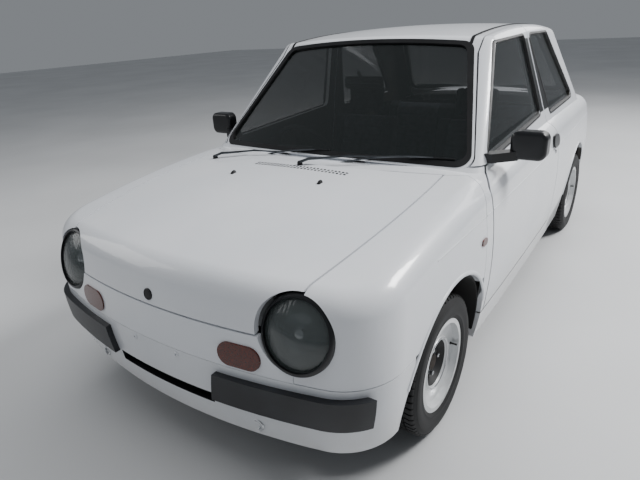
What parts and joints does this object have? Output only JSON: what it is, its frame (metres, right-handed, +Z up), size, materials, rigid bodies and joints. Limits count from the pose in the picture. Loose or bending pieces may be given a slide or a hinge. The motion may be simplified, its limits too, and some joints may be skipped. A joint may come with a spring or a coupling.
{
  "type": "city car",
  "caption": "Small rounded two-door city car with a short boot, steered front wheels, opening doors, bonnet and boot lid.",
  "frame": {"origin": "on the ground, under the middle of the car's bounding box", "axes": "+Z up, the car faces -Y, its left side is +X"},
  "size_m": [1.81, 3.6347, 1.4099],
  "materials": {
    "white_paint": "gloss",
    "white_plastic": "gloss",
    "black_plastic": "matte",
    "black_rubber": "matte",
    "tinted_glass": "gloss",
    "clear_lens": "gloss",
    "amber_lens": "gloss",
    "red_lens": "gloss",
    "reflector": "mirror",
    "wheel_steel": "satin",
    "tyre_rubber": "matte",
    "dark_steel": "satin",
    "hub_iron": "matte",
    "engine_alloy": "satin",
    "exhaust_steel": "satin",
    "seat_cloth": "woven"
  },
  "bodies": {
    "body": {"bumper_pads": "black_plastic", "dashboard": "black_plastic", "engine_block": "engine_alloy", "exhaust": "exhaust_steel", "floor_pan": "dark_steel", "front_bumper": "white_plastic", "front_panel": "white_paint", "front_seats": "seat_cloth", "front_structure": "white_paint", "front_suspension": "dark_steel", "fuel_tank": "dark_steel", "headlamp_lenses": "clear_lens", "headlamp_reflectors": "reflector", "headlamp_rings": "black_plastic", "rear_axle": "dark_steel", "rear_bumper": "white_plastic", "rear_deck": "white_paint", "rear_panel": "white_paint", "rear_seat": "seat_cloth", "rear_windows": "tinted_glass", "roof": "white_paint", "side_left": "white_paint", "side_right": "white_paint", "tail_lamps": "red_lens", "turn_signals": "amber_lens", "weather_strips": "black_rubber", "windscreen": "tinted_glass", "windscreen_frame": "white_paint", "wing_left": "white_paint", "wing_right": "white_paint"},
    "bonnet": {"bonnet": "white_paint"},
    "boot_lid": {"boot_lid": "white_paint"},
    "steering_wheel": {"steering_wheel": "black_plastic"},
    "knuckle_left": {"knuckle_left": "hub_iron"},
    "knuckle_right": {"knuckle_right": "hub_iron"},
    "door_left": {"door_left": "white_paint", "door_glass_left": "tinted_glass", "mirror_left": "black_plastic", "handle_left": "black_plastic"},
    "wheel_front_left": {"rim_front_left": "wheel_steel", "tyre_front_left": "tyre_rubber"},
    "wheel_rear_left": {"rim_rear_left": "wheel_steel", "tyre_rear_left": "tyre_rubber"},
    "door_right": {"door_right": "white_paint", "door_glass_right": "tinted_glass", "mirror_right": "black_plastic", "handle_right": "black_plastic"},
    "wheel_front_right": {"rim_front_right": "wheel_steel", "tyre_front_right": "tyre_rubber"},
    "wheel_rear_right": {"rim_rear_right": "wheel_steel", "tyre_rear_right": "tyre_rubber"}
  },
  "joints": [
    {"name": "door_left_hinge", "type": "hinge", "parent": "body", "child": "door_left", "pos_m": [0.78, -0.745, 0.56], "axis": [0, 0, -1], "range_deg": [0, 65]},
    {"name": "door_right_hinge", "type": "hinge", "parent": "body", "child": "door_right", "pos_m": [-0.78, -0.745, 0.56], "axis": [0, 0, 1], "range_deg": [0, 65]},
    {"name": "bonnet_hinge", "type": "hinge", "parent": "body", "child": "bonnet", "pos_m": [0, -0.79, 0.872], "axis": [-1, 0, 0], "range_deg": [0, 50]},
    {"name": "boot_lid_hinge", "type": "hinge", "parent": "body", "child": "boot_lid", "pos_m": [0, 1.446, 0.854], "axis": [1, 0, 0], "range_deg": [0, 60]},
    {"name": "steer_left", "type": "hinge", "parent": "body", "child": "knuckle_left", "pos_m": [0.6605, -1.1375, 0.266], "axis": [0, 0, 1], "range_deg": [-33, 33]},
    {"name": "steer_right", "type": "hinge", "parent": "body", "child": "knuckle_right", "pos_m": [-0.6605, -1.1375, 0.266], "axis": [0, 0, 1], "range_deg": [-33, 33]},
    {"name": "steering_wheel_turn", "type": "hinge", "parent": "body", "child": "steering_wheel", "pos_m": [-0.34, -0.43, 0.8], "axis": [0, 0.9063, 0.4226], "range_deg": [-540, 540]},
    {"name": "wheel_front_left_spin", "type": "hinge", "parent": "knuckle_left", "child": "wheel_front_left", "pos_m": [0.6825, -1.1375, 0.266], "axis": [1, 0, 0], "continuous": true},
    {"name": "wheel_front_right_spin", "type": "hinge", "parent": "knuckle_right", "child": "wheel_front_right", "pos_m": [-0.6825, -1.1375, 0.266], "axis": [1, 0, 0], "continuous": true},
    {"name": "wheel_rear_left_spin", "type": "hinge", "parent": "body", "child": "wheel_rear_left", "pos_m": [0.6825, 1.1625, 0.266], "axis": [1, 0, 0], "continuous": true},
    {"name": "wheel_rear_right_spin", "type": "hinge", "parent": "body", "child": "wheel_rear_right", "pos_m": [-0.6825, 1.1625, 0.266], "axis": [1, 0, 0], "continuous": true}
  ],
  "couplings": [
    {"joint": "steer_right", "follows": "steer_left", "ratio": 1},
    {"joint": "steering_wheel_turn", "follows": "steer_left", "ratio": 16}
  ]
}
